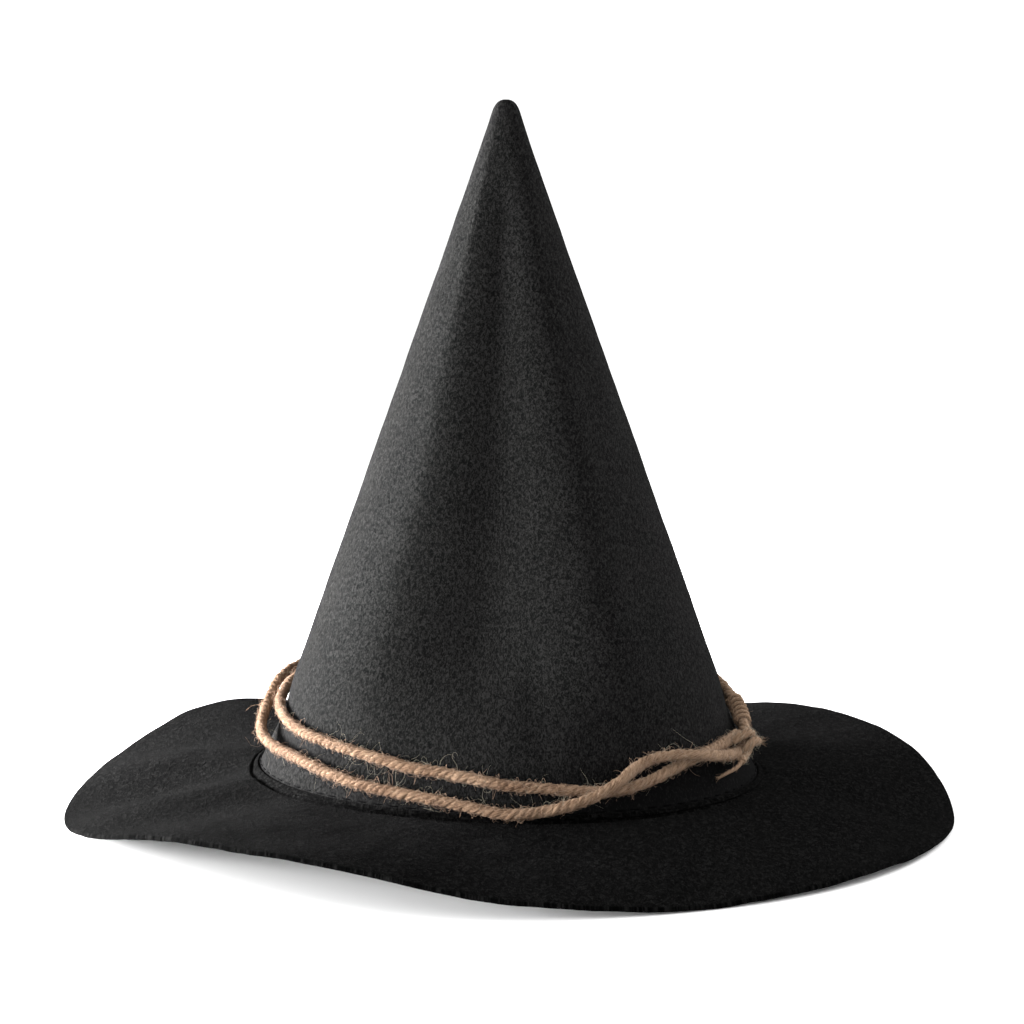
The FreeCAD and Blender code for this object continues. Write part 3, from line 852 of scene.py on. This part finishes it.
def level_stitches(count, length, place, facing):
    """Stitches that run round the hat: place(angle) gives radius and height, and facing is 1 out, -1 in."""
    grids = []
    half = 180.0 / count * 0.4
    for index in range(count):
        angle = 360.0 * index / count + rng.normal(0.0, 0.12)
        middle = polar(angle, *place(angle))
        along = polar(angle + half, *place(angle + half)) - polar(angle - half, *place(angle - half))
        grids.append(stitch(middle, along, facing * middle * (1, 1, 0), length * rng.uniform(0.92, 1.0)))
    return grids


def make_base_stitches():
    """Thread in the groove between the crown and the welt."""
    def groove(angle):
        height = seam_height(angle) + WELT_HEIGHT + 0.00044
        return cone_radius(height) + 0.00015, height
    return join_grids("thread_base", level_stitches(BASE_STITCHES, BASE_STITCH_LENGTH, groove, 1))


def make_band_stitches():
    """A row round the sweatband, and a short column down each side of the label."""
    def row(angle):
        return float(band_radius(BAND_STITCH_HEIGHT)), BAND_STITCH_HEIGHT
    grids = level_stitches(BAND_STITCHES, BAND_STITCH_LENGTH, row, -1)
    for edge in (LABEL_START + 0.8, LABEL_END - 0.8):
        for height in np.arange(0.0085, 0.0222, 0.0022):
            middle = polar(edge, float(band_radius(height)) - 0.00036, height)
            grids.append(stitch(middle, np.array([0.0, -0.2, 1.0]), -middle * (1, 1, 0), 0.0013, 0.00012))
    return join_grids("thread_band", grids)


def make_back_stitches():
    """Slanting stitches across the crown's closed edges, down the back."""
    up = np.array([0.0, -CONE_SLOPE, 1.0]) / LEAN
    grids = []
    height = BACK_SEAM_BOTTOM
    lean = BACK_STITCH_LEAN
    while height < BACK_SEAM_TOP:
        radius = float(crown_radius(180.0, height) + crown_detail(180.0, height)) + 0.00022
        middle = polar(180.0, radius, height)
        turn = math.radians(lean + rng.normal(0.0, 3.0))
        along = np.array([math.cos(turn), 0.0, 0.0]) + up * math.sin(turn)
        shrink = min(1.0, radius / 0.020)
        grids.append(stitch(middle, along, np.array([0.0, 1.0, 0.3]), BACK_STITCH_LENGTH * shrink))
        height += BACK_STITCH_PITCH
        lean = -lean
    return join_grids("thread_back", grids)


# The twine.

def in_knot(places):
    """Points given in mm along the crown, away from it and up, from the knot's middle."""
    middle = off_crown(KNOT_ANGLE, KNOT_HEIGHT, KNOT_STAND_OFF)
    along = polar(KNOT_ANGLE + 90.0, 1.0, 0.0)
    out = polar(KNOT_ANGLE, 1.0, 0.0)
    return np.array([middle + (along * a + out * b + (0.0, 0.0, c)) / 1000.0 for a, b, c in places])


def make_rope(path):
    grids, grooves = twisted(path, TWINE, TWINE_LAY, sides=15)
    return join_grids("jute_twine", grids, grooves)


def make_knot(path, over, under):
    """The knot's two passes, and thin wraps round the last stretch of the twine before it."""
    grids, grooves = twisted(over, 0.0040, KNOT_LAY, step=0.0004, start=1.0)
    more, more_grooves = twisted(under, 0.0038, KNOT_LAY, step=0.0004, start=2.0)
    begin = np.linspace(path.length - 0.034, path.length - 0.012, 90)
    centre, _, side, up = path.at(begin)
    turn = 2 * math.pi * (begin - begin[0]) / 0.0037
    wrap = centre + 0.0027 * (side * np.cos(turn)[:, None] + up * np.sin(turn)[:, None])
    wraps, wrap_grooves = twisted(Path(wrap), 0.0020, 0.0050, step=0.0005, sides=8, start=3.0)
    return join_grids("jute_knot", grids + more + wraps, grooves + more_grooves + wrap_grooves)


def make_tail(name, route, size, count, spread):
    """A cut end that tapers, with loose fibres that splay from it."""
    tail = Path(read_line(in_knot(route)))
    grids, grooves = twisted(tail, size, KNOT_LAY, step=0.0004, start=0.4, taper=0.75)
    share = np.linspace(0.0, 1.0, 7)
    for fibre in range(count):
        begin = tail.length * rng.uniform(0.25, 0.95)
        centre, tangent, side, up = tail.at(np.array([begin]))
        turn = rng.uniform(0.0, 2 * math.pi)
        sideways = side[0] * math.cos(turn) + up[0] * math.sin(turn)
        length = rng.uniform(0.0025, 0.0055)
        splay = spread * rng.uniform(0.1, 1.0)
        away = size * 0.30 + length * splay * share ** 1.4
        reach = tangent[0] * (length * share)[:, None] + sideways * away[:, None]
        sag = rng.normal(0.0, 0.0005, 3) * (share ** 2)[:, None]
        grids.append(tube(centre[0] + reach + sag, 0.00006 * (1.0 - 0.6 * share), 4))
        grooves.append((begin + length * share, rng.uniform(0.0, 9.0)))
    return join_grids(name, grids, grooves)


def make_fuzz(path):
    return join_grids("jute_fuzz", stray_fibres(path, 6800, 0.0021, 0.0013, 0.0030, thick=0.000058, pieces=5))


def make_hairs(path, over, under):
    """Longer hairs, and curly ones, more than half of which lie over the front."""
    hairs = stray_fibres(path, 420, 0.0019, 0.0016, 0.0062, thick=0.000034, pieces=9)
    hairs += stray_fibres(over, 150, 0.0017, 0.0018, 0.0042, thick=0.000036, pieces=8)
    hairs += stray_fibres(under, 70, 0.0016, 0.0016, 0.0042, thick=0.000036, pieces=8)
    hairs += curly_hairs(path, 90, TWINE / 2, lambda: rng.normal(-20.0, 20.0))
    hairs += curly_hairs(path, 70, TWINE / 2, lambda: rng.uniform(-180.0, 180.0))
    return join_grids("jute_hairs", hairs)


# The scene. The brim's felt has darker tones than the crown's, though both are the same felt. The difference
# is painted shade, standing in for the shade over the brim's front that these lamps leave too light.

crown_felt = felt_material("felt_crown", (0.0026, 0.0066, 0.0146), (1050.0, 620.0), 0.20, 0.0085, foot=0.09)
# Painted shade: the brim's felt is the crown's felt in darker tones, and the welt wears it too.
brim_felt_painted_shade = felt_material("felt_brim", (0.0001, 0.0010, 0.0060), (620.0, 420.0), 2.0, 0.007)
jute = jute_material("jute", ((0.080, 0.046, 0.029), (0.158, 0.100, 0.064), (0.260, 0.176, 0.117)))
jute_fuzz = jute_material("jute_fuzz", ((0.19, 0.120, 0.084), (0.28, 0.19, 0.135), (0.38, 0.28, 0.205)))
jute_hair = jute_material("jute_hair", ((0.20, 0.175, 0.135), (0.32, 0.29, 0.225), (0.46, 0.43, 0.34)))
ribbon = ribbon_material()
label = label_material()
thread = thread_material()


def finish_piece(piece, material, body, *nodes, slot):
    piece.data.materials.append(material)
    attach(piece, body)
    if nodes:
        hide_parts(*nodes)
    return piece


route = np.array([off_crown(*place) for place in TWINE_ROUTE])
line = read_line(route)
twine_path = Path(line)
over_path = Path(read_line(in_knot(KNOT_OVER)))
under_path = Path(read_line(in_knot(KNOT_UNDER)))
rope = finish_piece(make_rope(twine_path), jute, "twine", "twine_band", slot="jute")
knot = finish_piece(make_knot(twine_path, over_path, under_path), jute, "twine", "twine_knot", slot="jute")
front_tail = make_tail("jute_tail_front", FRONT_TAIL, 0.0034, 90, 0.42)
finish_piece(front_tail, jute, "twine", "twine_tail_front", slot="jute")
rear_tail = make_tail("jute_tail_rear", REAR_TAIL, 0.0019, 30, 0.14)
finish_piece(rear_tail, jute, "twine", "twine_tail_rear", slot="jute")
fuzz = finish_piece(make_fuzz(twine_path), jute_fuzz, "twine", slot="jute")
hairs = finish_piece(make_hairs(twine_path, over_path, under_path), jute_hair, "twine", slot="jute")

crown = finish_piece(make_crown(), crown_felt, "hat", "crown", slot="felt")
brim = finish_piece(make_brim(), brim_felt_painted_shade, "hat", "brim", slot="felt")
finish_piece(make_welt(), brim_felt_painted_shade, "hat", "seam_welt", slot="felt")
band = finish_piece(make_sweatband(), ribbon, "hat", "sweatband", slot="ribbon")
finish_piece(make_label(), label, "hat", "care_label", slot="label")
finish_piece(make_base_stitches(), thread, "hat", "base_stitches", slot="thread")
finish_piece(make_band_stitches(), thread, "hat", "sweatband_stitches", slot="thread")
finish_piece(make_back_stitches(), thread, "hat", "back_seam_stitches", slot="thread")

# The floor, the light and the camera. The floor is so wide that its far edge lies close to the horizon.
floor_level = min(vertex.co.z for vertex in brim.data.vertices)
floor_mesh = bpy.data.meshes.new("floor")
floor_corners = [(x, y, floor_level) for x, y in ((-60, -20), (60, -20), (60, 120), (-60, 120))]
floor_mesh.from_pydata(floor_corners, [], [(0, 1, 2, 3)])
floor = bpy.data.objects.new("floor", floor_mesh)
bpy.context.scene.collection.objects.link(floor)
floor_mesh.materials.append(Nodes("floor").surface((0.95, 0.95, 0.95, 1.0), 0.9, specular=0.1))

world = bpy.data.worlds.new("studio")
bpy.context.scene.world = world
world.use_nodes = True
background = world.node_tree.nodes["Background"]
background.inputs["Color"].default_value = (1.0, 1.0, 1.0, 1.0)
background.inputs["Strength"].default_value = 1.28


def lamp(name, azimuth, elevation, distance, width, power):
    """A soft panel that faces the hat. Azimuth is in degrees from the front, and power is in watts."""
    data = bpy.data.lights.new(name, "AREA")
    data.shape = "DISK"
    data.size = width
    data.energy = power
    panel = bpy.data.objects.new(name, data)
    bpy.context.scene.collection.objects.link(panel)
    turn = math.radians(azimuth)
    rise = math.radians(elevation)
    towards = Vector((math.sin(turn) * math.cos(rise), -math.cos(turn) * math.cos(rise), math.sin(rise)))
    panel.location = Vector((0.0, 0.0, 0.04)) + towards * distance
    panel.rotation_euler = towards.to_track_quat("Z", "Y").to_euler()
    panel.visible_camera = False


lamp("key", -82, 3, 0.75, 0.25, 7.5)
lamp("side", -66, 4, 0.85, 0.25, 17.0)
lamp("rim", -114, 4, 0.75, 0.25, 66.0)
lamp("back", 126, 18, 0.75, 0.25, 4.5)

camera_tilt = math.radians(8.2)
camera_distance = 1.5
target = Vector((0.0023, 0.0, 0.101))
camera_data = bpy.data.cameras.new("camera")
camera_data.lens = 135.84
camera_data.sensor_width = 36.0
camera = bpy.data.objects.new("camera", camera_data)
bpy.context.scene.collection.objects.link(camera)
camera.location = target + camera_distance * Vector((0.0, -math.cos(camera_tilt), math.sin(camera_tilt)))
camera.rotation_euler = (math.radians(90.0) - camera_tilt, 0.0, 0.0)
bpy.context.scene.camera = camera
bpy.context.scene.view_settings.view_transform = "Standard"
